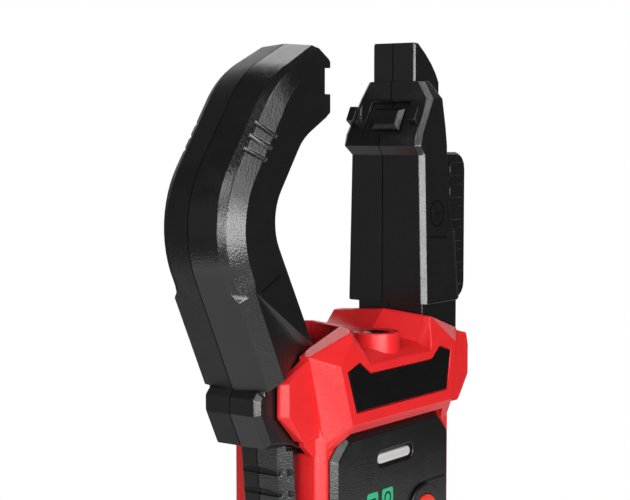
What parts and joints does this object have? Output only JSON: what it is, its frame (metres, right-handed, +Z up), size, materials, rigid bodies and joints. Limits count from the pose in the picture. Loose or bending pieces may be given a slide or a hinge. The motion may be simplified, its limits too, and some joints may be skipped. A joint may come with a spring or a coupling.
{
  "type": "clamp meter",
  "caption": "Hand-held clamp meter with a hinged jaw worked by a side trigger, a fixed jaw with a grip fin, a faceted case, selector dial, push buttons, display and torch",
  "frame": {"origin": "middle of the case's flat bottom end, just behind the parting line", "axes": "+Z up along the case towards the jaws, -Y out of the front panel, +X towards the fixed jaw"},
  "size_m": [0.1215, 0.0405, 0.2195],
  "materials": {
    "red_plastic": "satin, finely textured",
    "black_plastic": "matte, finely textured",
    "panel_plastic": "satin",
    "orange_plastic": "satin",
    "pale_plastic": "translucent, satin",
    "clear_plastic": "clear",
    "display_grey": "satin",
    "board_green": "satin",
    "steel": "brushed",
    "core_steel": "rolled",
    "copper": "enamelled winding",
    "brass": "turned",
    "cell_jacket": "printed film"
  },
  "bodies": {
    "housing": {"front_housing": "red_plastic", "rear_housing": "red_plastic", "front_panel": "panel_plastic", "label_plate": "panel_plastic", "lcd_window": "clear_plastic", "lcd_module": "display_grey", "main_board": "board_green", "buzzer": "black_plastic", "hold_button_ring": "black_plastic", "select_button_ring": "black_plastic", "indicator_light_pipe": "pale_plastic", "torch_lens": "clear_plastic", "torch_led": "pale_plastic", "fixed_jaw_front_shell": "black_plastic", "fixed_jaw_rear_shell": "black_plastic", "fixed_jaw_core": "core_steel", "fixed_jaw_coil": "copper", "fixed_jaw_pole_cap": "black_plastic", "jaw_pivot_pin": "steel", "jaw_return_spring": "steel", "battery_tray": "black_plastic", "battery_1": "cell_jacket", "battery_2": "cell_jacket", "battery_3": "cell_jacket", "battery_door": "red_plastic", "battery_door_screw": "steel", "case_screw_1": "steel", "case_screw_2": "steel", "case_screw_3": "steel", "case_screw_4": "steel", "left_input_jack": "brass", "right_input_jack": "brass"},
    "moving_jaw": {"moving_jaw_front_shell": "black_plastic", "moving_jaw_rear_shell": "black_plastic", "moving_jaw_core": "core_steel", "moving_jaw_coil": "copper", "moving_jaw_pole_cap": "black_plastic"},
    "selector": {"selector_knob": "black_plastic"},
    "hold_key": {"hold_button": "orange_plastic"},
    "select_key": {"select_button": "orange_plastic"}
  },
  "joints": [
    {"name": "jaw_hinge", "type": "hinge", "parent": "housing", "child": "moving_jaw", "pos_m": [-0.0215, -0.001, 0.115], "axis": [0, 1, 0], "range_deg": [0, 28.75]},
    {"name": "selector_turn", "type": "hinge", "parent": "housing", "child": "selector", "pos_m": [0, -0.0165, 0.065], "axis": [0, 1, 0], "range_deg": [-150, 150]},
    {"name": "hold_press", "type": "slide", "parent": "housing", "child": "hold_key", "axis": [0, 1, 0], "range_m": [0, 0.0008], "stiffness_N_per_m": 1500},
    {"name": "select_press", "type": "slide", "parent": "housing", "child": "select_key", "axis": [0, 1, 0], "range_m": [0, 0.0008], "stiffness_N_per_m": 1500}
  ]
}
